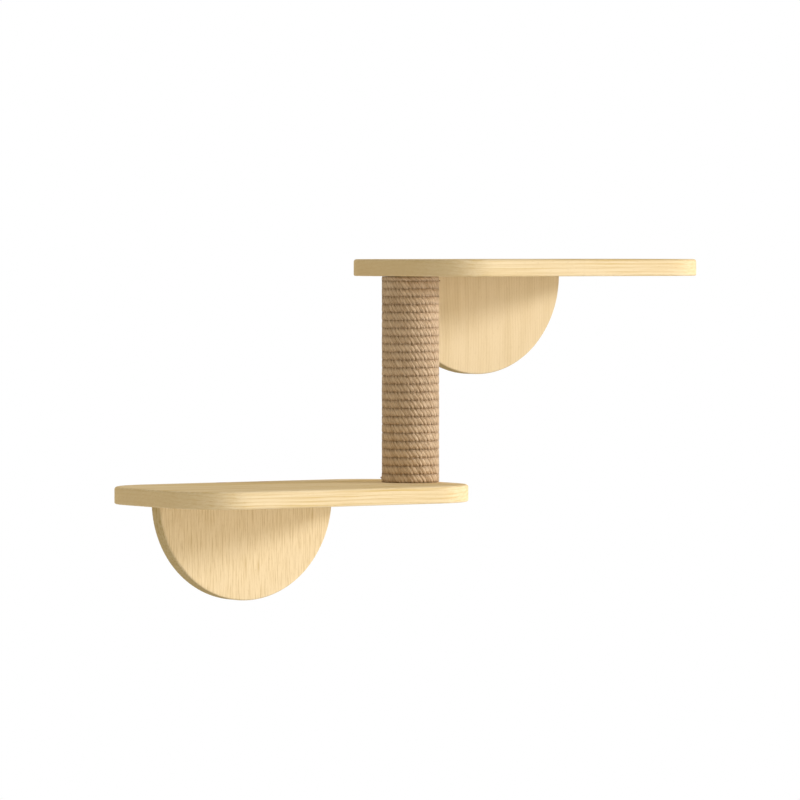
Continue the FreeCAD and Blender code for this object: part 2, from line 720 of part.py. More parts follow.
def make_rope():
    """The winding, one unbroken tube round the paper tube."""
    diameter = value(size("rope_diameter"))
    edges = rope_path()
    start = edges[0].valueAt(edges[0].FirstParameter)
    way = edges[0].tangentAt(edges[0].FirstParameter)
    ring = Part.Wire([Part.Circle(start, way, diameter / 2).toShape()])
    solid = Part.Wire(edges).makePipeShell([ring], True, False)
    length = sum(edge.Length for edge in edges)
    expected = math.pi * diameter ** 2 / 4 * length
    print(f"rope length {length:.1f}, volume over section times length {solid.Volume / expected:.5f}")
    print(f"rope least gap to itself {least_gap(edges, diameter):.3f}")
    rope = doc.addObject("Part::Feature", "sisal_rope")
    rope.Label = "sisal_rope"
    rope.Shape = solid
    rope.setExpression("Placement.Base.x", POST_X)
    rope.setExpression("Placement.Base.y", POST_Y)
    rope.setExpression("Placement.Base.z", POST_FOOT_Z)
    keep(rope)


def make_staple(label, flank, height):
    """A wire staple on one straight rope end, its origin where the crown meets the rope."""
    turn = math.radians(ROPE_START_ANGLE)
    out, back = f"({flank} * {half(POST_DIAMETER)})", half(size("rope_diameter"))
    x = f"({POST_X} + {out} * {math.cos(turn)} + {back} * {math.sin(turn)})"
    y = f"({POST_Y} + {out} * {math.sin(turn)} - {back} * {math.cos(turn)})"
    outwards = FreeCAD.Vector(math.cos(turn), math.sin(turn), 0) * flank
    z = f"({height} - {half(size('staple_band'))})"
    staple = new_body(label, x, y, z, FreeCAD.Rotation(INTO_WALL, outwards))
    side, wire = half(size("staple_width")), size("staple_wire")
    tip = f"({wire} - {size('staple_leg')})"
    inner = f"({side} - {wire})"
    corners = (
        (f"(-{side})", wire),
        (side, wire),
        (side, tip),
        (inner, tip),
        (inner, "0"),
        (f"(-{inner})", "0"),
        (f"(-{inner})", tip),
        (f"(-{side})", tip),
    )
    profile = new_sketch(staple, "profile", "XY_Plane")
    add_outline(profile, corners)
    pad(staple, profile, size("staple_band"))
    return staple


def make_staples():
    """One staple over each straight end of the rope, behind the post's left and right flanks."""
    rise = f"({half(size('rope_diameter'))} + {size('rope_end_gap')})"
    low, high = f"({POST_FOOT_Z} + {rise})", f"({UPPER_Z} - {rise})"
    members = [
        make_staple("lower_rope_staple", 1, low),
        make_staple("upper_rope_staple", -1, high),
    ]
    group("rope_end_staples", members)


def check():
    """Stops unless every object is computed and every sub-part is a valid solid."""
    doc.recompute()
    for item in doc.Objects:
        if "Invalid" in item.State or "Error" in item.State:
            raise RuntimeError(f"{item.Label} is {item.State}")
    for item in nodes:
        shape = item.Shape
        if shape.isNull() or not shape.isValid() or not shape.Solids:
            raise RuntimeError(f"{item.Label} is not a valid solid")


def write():
    """Writes each sub-part to its own file."""
    os.makedirs("parts", exist_ok=True)
    for item in nodes:
        item.Shape.exportStep(os.path.join("parts", f"{item.Label}.step"))
        print(f"{item.Label}: {len(item.Shape.Solids)} solids, {item.Shape.Volume:.1f} mm3")


fill_sheet()
for level_name in LEVELS:
    make_board(level_name)
    make_plate(level_name)
    for side_name in SIDES:
        make_hanger(level_name, side_name)
    make_fasteners(level_name)
    make_plug(level_name)
    make_insert(level_name)
    make_bolt(level_name)
make_core()
make_rope()
make_staples()
check()
write()
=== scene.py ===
import math
import random

import bpy
import numpy as np
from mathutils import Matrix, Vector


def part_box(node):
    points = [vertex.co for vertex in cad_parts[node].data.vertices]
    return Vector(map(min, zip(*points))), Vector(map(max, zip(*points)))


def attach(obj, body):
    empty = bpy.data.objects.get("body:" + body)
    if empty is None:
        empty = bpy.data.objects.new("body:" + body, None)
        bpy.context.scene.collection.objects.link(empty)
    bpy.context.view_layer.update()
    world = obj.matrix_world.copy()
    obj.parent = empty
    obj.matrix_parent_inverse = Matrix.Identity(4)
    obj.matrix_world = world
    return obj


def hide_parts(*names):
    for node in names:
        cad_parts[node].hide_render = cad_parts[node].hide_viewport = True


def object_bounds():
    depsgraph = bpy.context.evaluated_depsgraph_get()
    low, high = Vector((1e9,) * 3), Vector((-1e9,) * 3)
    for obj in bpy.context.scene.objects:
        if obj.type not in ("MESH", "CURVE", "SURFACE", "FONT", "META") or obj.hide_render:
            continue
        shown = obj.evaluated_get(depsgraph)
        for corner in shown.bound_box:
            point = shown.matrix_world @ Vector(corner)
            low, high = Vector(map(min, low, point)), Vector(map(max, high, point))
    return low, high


# The cat climbing wall: two pine boards on half-round wall plates and a rope-wound post.
# Lengths are metres, and angles are degrees where a name doesn't say otherwise. Patterns on wood,
# paper, metal and the floor are measured in millimetres, and those on the rope in metres along
# and across its strands.

MM = 0.001
UP = np.array((0.0, 0.0, 1.0))
LEVELS = ("lower", "upper")
WHITE = (1, 1, 1, 1)
TINY = 1e-9

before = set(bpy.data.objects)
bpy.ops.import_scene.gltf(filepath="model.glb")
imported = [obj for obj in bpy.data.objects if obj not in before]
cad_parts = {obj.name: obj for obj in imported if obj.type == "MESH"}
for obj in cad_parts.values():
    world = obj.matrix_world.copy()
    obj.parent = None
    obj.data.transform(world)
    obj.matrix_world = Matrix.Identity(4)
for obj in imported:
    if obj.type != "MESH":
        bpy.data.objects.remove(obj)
cad_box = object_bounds()

# Camera, as fitted to the object's outline. Its sensor is in millimetres.
FRAME_PIXELS = 800
FOCAL_PIXELS = 5576
CAMERA_PLACE = (-2.6152, -4.2180, 0.2649)
CAMERA_YAW = 33.464
CAMERA_PITCH = 1.583
CAMERA_NEAR, CAMERA_FAR = 0.1, 100
SENSOR_WIDTH = 36

# Light: a small key and a broad fill from the right in front, a faint lamp from the left, one
# behind for the sides that the camera doesn't see, and an ambience that is strongest from below.
KEY_TOWARDS = (1.0, -0.76, 0.28)
KEY_DISTANCE = 6.0
KEY_WIDTH = 0.75
KEY_POWER = 162
KEY_TINT = (1.0, 1.0, 1.0)
FILL_TOWARDS = (0.84, -1.0, 0.0)
FILL_POWER = 97
FILL_TINT = (1.0, 0.9, 0.8)
LEFT_TOWARDS = (-1.0, -0.35, 0.1)
LEFT_POWER = 4
LEFT_TINT = (1.0, 0.75, 0.5)
BACK_TOWARDS = (0.3, 1.0, 0.3)
BACK_POWER = 60
FILL_DISTANCE = 5.0
FILL_WIDTH = 3.0
AMBIENT_BELOW, AMBIENT_ABOVE = 1.07, 0.36
AMBIENT_TINT = (1.0, 0.91, 0.72)

# Floor, far enough below a unit that hangs on a wall. It turns white with distance.
FLOOR_DROP = 0.4
FLOOR_SPAN = 12.0
FLOOR_CORNERS = ((-1, -1), (1, -1), (1, 1), (-1, 1))
FLOOR_SHADE = (0.86, 0.87, 0.90)
FLOOR_MOTTLE = 0.97
FLOOR_CLEAR_FROM, FLOOR_CLEAR_TO = 0.4, 1.5
FLOOR_PALENESS = 0.45

# Rope: four strands laid to the right, wound on the paper tube.
ROPE_DIAMETER = 7 * MM
ROPE_RADIUS = ROPE_DIAMETER / 2
ROPE_STRANDS = 4
ROPE_LAY = 14.6 * MM
ROPE_PITCH = 7.1 * MM
ROPE_START_ANGLE = 150
ROPE_CLEARANCE = 0.25 * MM
ROPE_LOW_GAP = 0.6 * MM
ROPE_HIGH_GAP = 0.5 * MM
TOP_TURN_HEIGHT = 3.8 * MM
ROPE_BOW = 1.6 * MM
ROPE_STEP = 1.5 * MM

# Strands: their section, and how the rope's own section is squared and filled by them.
STRAND_SIDES = 10
STRAND_THICKNESS = 2.9 * MM
STRAND_WIDTH = 3.4 * MM
STRAND_CROWDING = 0.45
STRAND_WAVES = (7.3 * MM, 17.1 * MM)
STRAND_WAVE_PHASES = (0, 6)
STRAND_SWELL = 0.018
ROPE_SQUARENESS = 12
ROPE_HOLLOWS = 0.75
ROPE_PRESS = 1.19

# Painted shade in the grooves: where the rope's colour is fully darkened, between strands and beside the
# next turn, to stand in for the shade that falls there.
STRAND_GROOVE_DEPTH = 0.42
TURN_GROOVE_FROM, TURN_GROOVE_SPAN = 0.825, 0.05
TURN_GROOVE_STRENGTH = 0.5
GROOVE_SHARPNESS = 1.7

# Loose fibres. Spread and lean are in radians round the strand.
FIBRE_COUNT = 2400
FIBRE_SIDES = 3
FIBRE_RINGS = 6
FIBRE_RADII = (0.04 * MM, 0.075 * MM)
FIBRE_TAPER = 0.35
FIBRE_LENGTHS = (3 * MM, 10 * MM)
FIBRE_LIFTS = (0.1 * MM, 0.8 * MM)
FIBRE_CURLS = (1, 3)
FIBRE_SPREAD = 0.7
FIBRE_LEAN = 0.7
FIBRE_FACING = 0.1
SEED = 7

# Colours of early wood, late wood and pores, and tints for the plates' rim and for end grain.
BOARD_PINE = ((0.91, 0.765, 0.53), (0.73, 0.54, 0.23), (0.56, 0.38, 0.14))
PLATE_PINE = ((0.91, 0.765, 0.53), (0.69, 0.53, 0.275), (0.53, 0.38, 0.165))
PLATE_RIM = (0.72, 0.70, 0.60)
BEECH = ((0.76, 0.53, 0.33), (0.60, 0.37, 0.2), (0.42, 0.24, 0.12))
END_GRAIN_TINT = (0.93, 0.91, 0.87)

# What differs between the two boards and the two plates. Streaks are their strength and
# fineness, and a pith's place is in millimetres from the middle of its board or plate.
# tone_and_shade makes all of a piece's colours lighter or darker alike.
BOARD_FINENESS = (0.010, 0.26, 0.72)
BOARD_LOOKS = {
    "lower": {"seed": 3, "pith_aside": 22, "rings": 1.15, "streaks": (1.3, BOARD_FINENESS), "tone_and_shade": 1.03},
    "upper": {"seed": 4, "pith_aside": -22, "rings": 0.9, "streaks": (1.05, BOARD_FINENESS), "tone_and_shade": 0.97},
}
# Painted shade: the upper plate's 0.89 darkens the whole plate to stand in for more of the upper board's
# shadow than the lamps cast on it.
PLATE_LOOKS = {
    "lower": {"seed": 11, "streaks": (1.8, (0.045, 1.0, 0.3)), "tone_and_shade": 1.01},
    "upper": {"seed": 12, "streaks": (0.5, (0.012, 0.10, 0.2)), "tone_and_shade": 0.89},
}
BOARD_PITH_BELOW = 700
PLATE_PITH_ASIDE = (-150, 62)
BEECH_STREAKS = (1.2, (0.028, 0.72, 0.72))

# Wood: how often each pattern repeats in a millimetre, along the grain and on the axes across it.
RING_SWAY = (0.006, 0.012, 0.012)
RING_FLUTTER = (0.02, 0.13, 0.13)
WOOD_FIBRES = (0.05, 1.9, 1.9)
WOOD_PATCHES = (0.004, 0.03, 0.03)
WOOD_PORES = (0.22, 2.4, 2.4)
WOOD_WEAR = (0.02, 0.05, 0.05)
SEED_SHIFT = 37.0

# Wood: how each pattern shows. A growth ring darkens towards its end and turns pale again there.
RING_PROFILE = ((0, 0.0), (0.5, 0.1), (0.84, 1.0), (0.93, 0.8), (1.0, 0.0))
RING_WEIGHTS = (0.35, 1.0)
RING_SHADE = 0.62
FLUTTER_REACH = 1.6
STREAK_REACH = (2.2, 2.2, 2.2)
WOOD_FIBRE_SHADES = (-0.22, 0.36)
WOOD_PATCH_SHADE = 0.22
PORE_STOPS = ((0.0, 0.0), (0.62, 0.0), (0.74, 1.0))
PORE_STRENGTH = 0.3
END_GRAIN_SHARPNESS = 3.0
END_GRAIN_CALM = 0.75
MIDDLE_SHADE = 0.3
WOOD_ROUGHNESS = (0.64, 0.8)
PORE_ROUGHNESS = 0.1
WOOD_FIBRE_RELIEF, RING_RELIEF = 0.7, 0.3
WOOD_RELIEF = 0.06 * MM

# Metal: spangle, brushed lines and marks.
SPANGLE_SCALE = 0.7
SPANGLE_CONTRAST = 0.4
BRUSHED_LINES = (3.5, 0.5, 0.12)
MARK_STOPS = ((0.35, 0.0), (0.65, 1.0))
MARK_DARKNESS = 0.62
MARK_SMOOTHER, MARK_ROUGHER = 0.08, 0.1
METAL_RELIEF = 0.02 * MM

# Kraft paper: a spiral seam that rises by one ply a turn, and short fibres.
PLY_RISE = 62.0
SEAM_STOPS = ((0.0, 1.0), (0.015, 0.0), (0.985, 0.0), (1.0, 1.0))
PAPER_FIBRES = (0.9, 0.9, 0.35)
PAPER_TONES = ((0.3, (0.30, 0.18, 0.09)), (0.7, (0.44, 0.28, 0.15)))
PAPER_SEAM = (0.2, 0.12, 0.06)
PAPER_ROUGHNESS = (0.75, 0.95)
PAPER_RELIEF = 0.1 * MM

# Sisal: how often each pattern repeats in a metre along and across a strand, its share in the
# rope's tone, and the tones from dark to pale.
SISAL_FIBRES = (130, 2400, 1)
SISAL_YARNS, SISAL_YARN_SHIFT = (60, 1050, 1), (3.1, 7.7, 0)
SISAL_BATCHES, SISAL_BATCH_SHIFT = (9, 60, 1), (9.3, 1.7, 0)
SISAL_PATCHES, SISAL_PATCH_SHIFT = (160, 100, 1), (5.2, 3.3, 0)
SISAL_FIBRE_TONES = (-0.25, 0.6)
SISAL_YARN_TONES = (-0.35, 0.55)
SISAL_BATCH_TONES = (-0.2, 0.25)
SISAL_TONES = (
    (0.0, (0.39, 0.265, 0.155)),
    (0.35, (0.69, 0.53, 0.375)),
    (0.65, (0.84, 0.69, 0.53)),
    (1.0, (0.94, 0.85, 0.72)),
)
# Painted shade: the colour that the rope's grooves are multiplied by, and how unevenly.
SISAL_GROOVE_SHADE = (0.33, 0.20, 0.095)
SISAL_GROOVE_SHADE_UNEVENNESS = (0.2, 1.9)
SISAL_ROUGHNESS = (0.7, 0.92)
SISAL_YARN_RELIEF = 0.8
SISAL_RELIEF = 0.28 * MM
LOOSE_FIBRE_TONES = ((0.3, (0.5, 0.35, 0.21)), (0.7, (0.76, 0.6, 0.42)))
LOOSE_FIBRE_ROUGHNESS = (0.55, 0.75)


def direction(vector):
    """The unit vector along a vector."""
    vector = np.array(vector, float)
    return vector / np.linalg.norm(vector)


def centre(node):
    """The middle of a node's box."""
    low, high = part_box(node)
    return np.array((low + high) / 2)


class Finish:
    """One material: its node tree, its shader and helpers that add patterns to it."""

    def __init__(self, name, constants):
        self.material = bpy.data.materials.new(name)
        self.material.use_nodes = True
        self.tree = self.material.node_tree
        self.shader = self.tree.nodes["Principled BSDF"]
        for socket, amount in constants.items():
            self.shader.inputs[socket].default_value = amount

    def put(self, socket, source):
        """Feeds a socket from another node's output, or with a constant."""
        if isinstance(source, bpy.types.NodeSocket):
            self.tree.links.new(source, socket)
        else:
            socket.default_value = source

    def drive(self, name, source):
        """Feeds one of the shader's inputs."""
        self.put(self.shader.inputs[name], source)

    def node(self, kind, *sources, **settings):
        """A new node with these settings, its first inputs fed in their order."""
        made = self.tree.nodes.new(kind)
        for setting, choice in settings.items():
            setattr(made, setting, choice)
        for socket, source in zip(made.inputs, sources):
            self.put(socket, source)
        return made

    def math(self, operation, *sources):
        """One step of arithmetic."""
        return self.node("ShaderNodeMath", *sources, operation=operation).outputs[0]

    def place(self, order="XYZ", offset=(0, 0, 0)):
        """Object coordinates in millimetres, with the axes in the order given."""
        spot = self.node("ShaderNodeTexCoord").outputs["Object"]
        apart = self.node("ShaderNodeSeparateXYZ", spot)
        together = self.node("ShaderNodeCombineXYZ", *[apart.outputs[axis] for axis in order])
        return self.stretch(together.outputs[0], (1 / MM,) * 3, offset)

    def stretch(self, vector, scale, offset=(0, 0, 0)):
        """A vector scaled axis by axis and then moved."""
        mapping = self.node("ShaderNodeMapping", vector)
        mapping.inputs["Location"].default_value = offset
        mapping.inputs["Scale"].default_value = scale
        return mapping.outputs[0]

    def noise(self, vector, scale=1.0, detail=2.0, roughness=0.5):
        """A noise texture's node."""
        made = self.node("ShaderNodeTexNoise", vector)
        made.inputs["Scale"].default_value = scale
        made.inputs["Detail"].default_value = detail
        made.inputs["Roughness"].default_value = roughness
        return made

    def ramp(self, amount, stops, smooth=False):
        """A colour ramp through (place, colour or grey) stops."""
        made = self.node("ShaderNodeValToRGB", amount)
        ramp = made.color_ramp
        ramp.interpolation = "EASE" if smooth else "LINEAR"
        while len(ramp.elements) < len(stops):
            ramp.elements.new(1.0)
        for element, (spot, colour) in zip(ramp.elements, stops):
            element.position = spot
            grey = isinstance(colour, (int, float))
            element.color = (colour,) * 3 + (1,) if grey else tuple(colour) + (1,)
        return made.outputs["Color"]

    def mix(self, amount, first, second, blend="MIX"):
        """Two colours mixed by an amount. A plain colour is a tuple."""
        made = self.node("ShaderNodeMix", data_type="RGBA", blend_type=blend)
        for name, source in (("Factor_Float", amount), ("A_Color", first), ("B_Color", second)):
            socket = next(each for each in made.inputs if each.identifier == name)
            if isinstance(source, tuple):
                source = source + (1,)
            self.put(socket, source)
        return next(each for each in made.outputs if each.identifier == "Result_Color")

    def between(self, amount, low, high):
        """An amount from 0 to 1 mapped to low up to high."""
        made = self.node("ShaderNodeMapRange", amount)
        made.inputs["To Min"].default_value = low
        made.inputs["To Max"].default_value = high
        return made.outputs[0]

    def bump(self, height, depth, strength):
        """Fine relief, as deep as depth where height is 1."""
        made = self.node("ShaderNodeBump")
        made.inputs["Strength"].default_value = strength
        made.inputs["Distance"].default_value = depth
        self.put(made.inputs["Height"], height)
        self.drive("Normal", made.outputs[0])


def growth_rings(finish, spot, flutter, pith, spacing, wander):
    """How dark a growth ring makes each point, from 0 to 1."""
    sway = finish.noise(finish.stretch(spot, RING_SWAY), detail=1.5).outputs["Color"]
    parts = finish.node("ShaderNodeSeparateXYZ", spot)
    sways = finish.node("ShaderNodeSeparateXYZ", sway)
    flutters = finish.node("ShaderNodeSeparateXYZ", flutter)
    squares = []
    for axis, middle in zip("YZ", pith):
        swayed = finish.math("MULTIPLY_ADD", sways.outputs[axis], wander, parts.outputs[axis])
        uneven = finish.math("MULTIPLY_ADD", flutters.outputs[axis], FLUTTER_REACH, swayed)
        away = finish.math("SUBTRACT", uneven, middle)
        squares.append(finish.math("MULTIPLY", away, away))
    radius = finish.math("SQRT", finish.math("ADD", *squares))
    ring = finish.math("DIVIDE", radius, spacing)
    chance = finish.node("ShaderNodeTexWhiteNoise", noise_dimensions="1D")
    finish.put(chance.inputs["W"], finish.math("FLOOR", ring))
    profile = finish.ramp(finish.math("FRACT", ring), RING_PROFILE, smooth=True)
    weight = finish.between(chance.outputs["Value"], *RING_WEIGHTS)
    return finish.math("MULTIPLY", profile, weight)


def wood(name, tones, grain, pith, spacing, seed, ring_strength=1.0, streaks=BEECH_STREAKS,
         wander=16.0, rim=None):
    """Solid wood: growth rings about a far pith, fibres, pores and end grain.

    grain names the axes as along, across, across; pith and spacing are in millimetres, pith on
    the two across axes; tones are the pale early wood, the dark late wood and the pores; rim
    tints what doesn't face the wall or the room.
    """
    early, late, pore = tones
    finish = Finish(name, {"Specular IOR Level": 0.0})
    spot = finish.place(grain, (seed * SEED_SHIFT, 0, 0))
    flutter = finish.noise(finish.stretch(spot, RING_FLUTTER), detail=2).outputs["Color"]
    rings = growth_rings(finish, spot, flutter, pith, spacing, wander)
    rings = finish.math("MULTIPLY", rings, ring_strength)

    strength, fineness = streaks
    bent = finish.node("ShaderNodeVectorMath", flutter, STREAK_REACH, spot, operation="MULTIPLY_ADD")
    bent = finish.stretch(bent.outputs[0], fineness)
    streak = finish.noise(bent, detail=3, roughness=0.6).outputs["Fac"]
    fibre = finish.noise(finish.stretch(spot, WOOD_FIBRES), detail=3, roughness=0.6).outputs["Fac"]
    patch = finish.noise(finish.stretch(spot, WOOD_PATCHES), detail=2).outputs["Fac"]
    dashes = finish.noise(finish.stretch(spot, WOOD_PORES), detail=1).outputs["Fac"]
    pores = finish.ramp(dashes, PORE_STOPS, smooth=True)

    normal = finish.node("ShaderNodeNewGeometry").outputs["Normal"]
    facing = finish.node("ShaderNodeSeparateXYZ", normal).outputs[grain[0]]
    facing = finish.math("ABSOLUTE", facing)
    end_grain = finish.math("POWER", facing, END_GRAIN_SHARPNESS)
    calm = finish.math("MULTIPLY_ADD", facing, -END_GRAIN_CALM, 1.0)
    shade = finish.math("MULTIPLY_ADD", rings, RING_SHADE, finish.between(fibre, *WOOD_FIBRE_SHADES))
    shade = finish.math("ADD", shade, finish.between(streak, -strength, strength))
    shade = finish.math("ADD", shade, finish.between(patch, -WOOD_PATCH_SHADE, WOOD_PATCH_SHADE))
    shade = finish.math("SUBTRACT", shade, MIDDLE_SHADE)
    shade = finish.math("MULTIPLY_ADD", shade, calm, MIDDLE_SHADE)
    colour = finish.ramp(shade, ((0.0, early), (1.0, late)))
    colour = finish.mix(finish.math("MULTIPLY", pores, PORE_STRENGTH), colour, pore)
    colour = finish.mix(end_grain, colour, END_GRAIN_TINT, "MULTIPLY")
    if rim:
        level = finish.math("ABSOLUTE", finish.node("ShaderNodeSeparateXYZ", normal).outputs["Y"])
        colour = finish.mix(finish.math("SUBTRACT", 1.0, level), colour, rim, "MULTIPLY")
    finish.drive("Base Color", colour)

    worn = finish.noise(finish.stretch(spot, WOOD_WEAR), detail=3).outputs["Fac"]
    worn = finish.between(worn, *WOOD_ROUGHNESS)
    finish.drive("Roughness", finish.math("ADD", worn, finish.between(pores, 0, PORE_ROUGHNESS)))
    raised = finish.between(fibre, 0, WOOD_FIBRE_RELIEF)
    relief = finish.math("SUBTRACT", raised, finish.between(rings, 0, RING_RELIEF))
    finish.bump(finish.math("SUBTRACT", relief, pores), WOOD_RELIEF, strength=0.5)
    return finish.material


def metal(name, colour, rough, brushed):
    """Plated steel: fine spangle, brushed lines and faint marks from handling."""
    finish = Finish(name, {"Metallic": 1.0})
    spot = finish.place()
    spangle = finish.node("ShaderNodeTexVoronoi", spot)
    spangle.inputs["Scale"].default_value = SPANGLE_SCALE
    lines = finish.noise(finish.stretch(spot, BRUSHED_LINES), detail=3).outputs["Fac"]
    marks = finish.noise(spot, scale=0.35, detail=4, roughness=0.65).outputs["Fac"]
    dark = tuple(MARK_DARKNESS * share for share in colour)
    plated = finish.mix(finish.ramp(marks, MARK_STOPS), dark, colour)
    spangles = finish.between(spangle.outputs["Distance"], 0.0, SPANGLE_CONTRAST)
    finish.drive("Base Color", finish.mix(spangles, plated, dark))
    marked = finish.between(marks, rough - MARK_SMOOTHER, rough + MARK_ROUGHER)
    finish.drive("Roughness", finish.math("ADD", marked, finish.between(lines, -brushed, brushed)))
    finish.bump(lines, METAL_RELIEF, strength=0.3)
    return finish.material


def kraft_paper(name, node):
    """Wound brown paper: a spiral seam and short fibres."""
    finish = Finish(name, {"Specular IOR Level": 0.25})
    x, y, _ = centre(node)
    spot = finish.place("XYZ", (-x / MM, -y / MM, 0))
    parts = finish.node("ShaderNodeSeparateXYZ", spot)
    angle = finish.math("ARCTAN2", parts.outputs["Y"], parts.outputs["X"])
    rise = finish.math("DIVIDE", parts.outputs["Z"], PLY_RISE)
    ply = finish.math("MULTIPLY_ADD", angle, 1 / math.tau, rise)
    seam = finish.ramp(finish.math("FRACT", ply), SEAM_STOPS)
    fibres = finish.noise(finish.stretch(spot, PAPER_FIBRES), detail=4, roughness=0.65).outputs["Fac"]
    finish.drive("Base Color", finish.mix(seam, finish.ramp(fibres, PAPER_TONES), PAPER_SEAM))
    finish.drive("Roughness", finish.between(fibres, *PAPER_ROUGHNESS))
    finish.bump(finish.math("SUBTRACT", fibres, seam), PAPER_RELIEF, strength=0.6)
    return finish.material


def sisal(name):
    """Twisted sisal: pale and dark fibres along each strand, and painted shade where strands and turns
    meet.
    """
    finish = Finish(name, {"Specular IOR Level": 0.1, "Sheen Weight": 0.05, "Sheen Roughness": 0.45})
    lay = finish.node("ShaderNodeUVMap", uv_map="strand").outputs[0]
    fibres = finish.noise(finish.stretch(lay, SISAL_FIBRES), detail=3, roughness=0.65).outputs["Fac"]
    yarns = finish.noise(finish.stretch(lay, SISAL_YARNS, SISAL_YARN_SHIFT), detail=2).outputs["Fac"]
    batch = finish.stretch(lay, SISAL_BATCHES, SISAL_BATCH_SHIFT)
    batch = finish.noise(batch, detail=2).outputs["Fac"]
    body = finish.between(fibres, *SISAL_FIBRE_TONES)
    body = finish.math("ADD", body, finish.between(yarns, *SISAL_YARN_TONES))
    body = finish.math("ADD", body, finish.between(batch, *SISAL_BATCH_TONES))
    # Painted shade: the rope's colour is darkened by the amount stored for each point in its grooves.
    depth = finish.node("ShaderNodeAttribute", attribute_name="painted_groove_shade").outputs["Fac"]
    patches = finish.stretch(lay, SISAL_PATCHES, SISAL_PATCH_SHIFT)
    patches = finish.noise(patches, detail=2).outputs["Fac"]
    depth = finish.math("MULTIPLY", depth, finish.between(patches, *SISAL_GROOVE_SHADE_UNEVENNESS))
    finish.drive("Base Color", finish.mix(depth, finish.ramp(body, SISAL_TONES), SISAL_GROOVE_SHADE, "MULTIPLY"))
    finish.drive("Roughness", finish.between(fibres, *SISAL_ROUGHNESS))
    height = finish.math("ADD", fibres, finish.between(yarns, 0, SISAL_YARN_RELIEF))
    finish.bump(height, SISAL_RELIEF, strength=0.8)
    return finish.material


def loose_fibre(name):
    """Single sisal fibres that stand off the rope, straw pale with darker stretches."""
    finish = Finish(name, {"Specular IOR Level": 0.3})
    tint = finish.noise(finish.place(), scale=0.5, detail=2).outputs["Fac"]
    finish.drive("Base Color", finish.ramp(tint, LOOSE_FIBRE_TONES))
    finish.drive("Roughness", finish.between(tint, *LOOSE_FIBRE_ROUGHNESS))
    return finish.material


def winding_line():
    """The rope's centre line round the post, its axes outwards and upwards, and its height.

    Each turn is a level half turn in front and a climbing half turn on the wall side. The
    top turn is pressed lower, as the post's length leaves no room for a whole one, and each
    end runs straight for about one rope diameter. The lower turns lie a little wider apart than
    the upper ones. The height at each point is a share of the rope's diameter.
    """
    tube_low, tube_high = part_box("post_core_tube")
    post = centre("post_core_tube")
    radius = (tube_high.x - tube_low.x) / 2 + ROPE_CLEARANCE + ROPE_RADIUS
    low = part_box("lower_shelf_board")[1].z + ROPE_LOW_GAP + ROPE_RADIUS
    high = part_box("upper_shelf_board")[0].z - ROPE_HIGH_GAP - TOP_TURN_HEIGHT / 2
    last_climb = (ROPE_DIAMETER + TOP_TURN_HEIGHT) / 2
    climbs = round((high - low) / ROPE_PITCH)
    climb = (high - low - last_climb) / (climbs - 1)
    halves = 2 * climbs + 1
    count = round(halves * math.pi * radius / ROPE_STEP)
    turn = np.linspace(0, halves, count)
    whole = np.floor(turn)
    climbing = whole % 2 == 1
    share = np.where(climbing, (1 - np.cos(math.pi * (turn - whole))) / 2, 0)
    climbed = np.floor(whole / 2) + share
    pressed = np.clip(climbed - climbs + 1, 0, 1)
    height = low + (climbed - pressed) * climb + pressed * last_climb
    height += ROPE_BOW * np.sin(math.pi * (height - low) / (high - low))
    tall = 1 - pressed * (1 - TOP_TURN_HEIGHT / ROPE_DIAMETER)
    angle = math.radians(ROPE_START_ANGLE) + math.pi * turn
    outwards = np.stack((np.cos(angle), np.sin(angle), np.zeros(count)), 1)
    points = outwards * radius
    points[:, 2] = height
    points[:, :2] += post[:2]

    steps = round(ROPE_DIAMETER / ROPE_STEP)
    ahead = np.cross(UP, outwards)
    offsets = np.arange(1, steps + 1)[:, None] * ROPE_STEP
    tail = points[0] - offsets[::-1] * ahead[0]
    head = points[-1] + offsets * ahead[-1]
    points = np.concatenate((tail, points, head))
    first = np.repeat(outwards[:1], steps, 0)
    last = np.repeat(outwards[-1:], steps, 0)
    outwards = np.concatenate((first, outwards, last))
    tall = np.pad(tall, steps, "edge")
    along = np.gradient(points, axis=0)
    along /= np.linalg.norm(along, axis=1)[:, None]
    return points, outwards, np.cross(outwards, along), tall


def squared_reach(out, up):
    """A point's distance from the rope's middle, and how far the squared section lies there.

    The second is a share of the rope's radius: 1 on the flat sides and more at the corners.
    """
    reach = np.hypot(out, up) + TINY
    powers = np.abs(out / reach) ** ROPE_SQUARENESS + np.abs(up / reach) ** ROPE_SQUARENESS
    return reach, powers ** (-1 / ROPE_SQUARENESS)


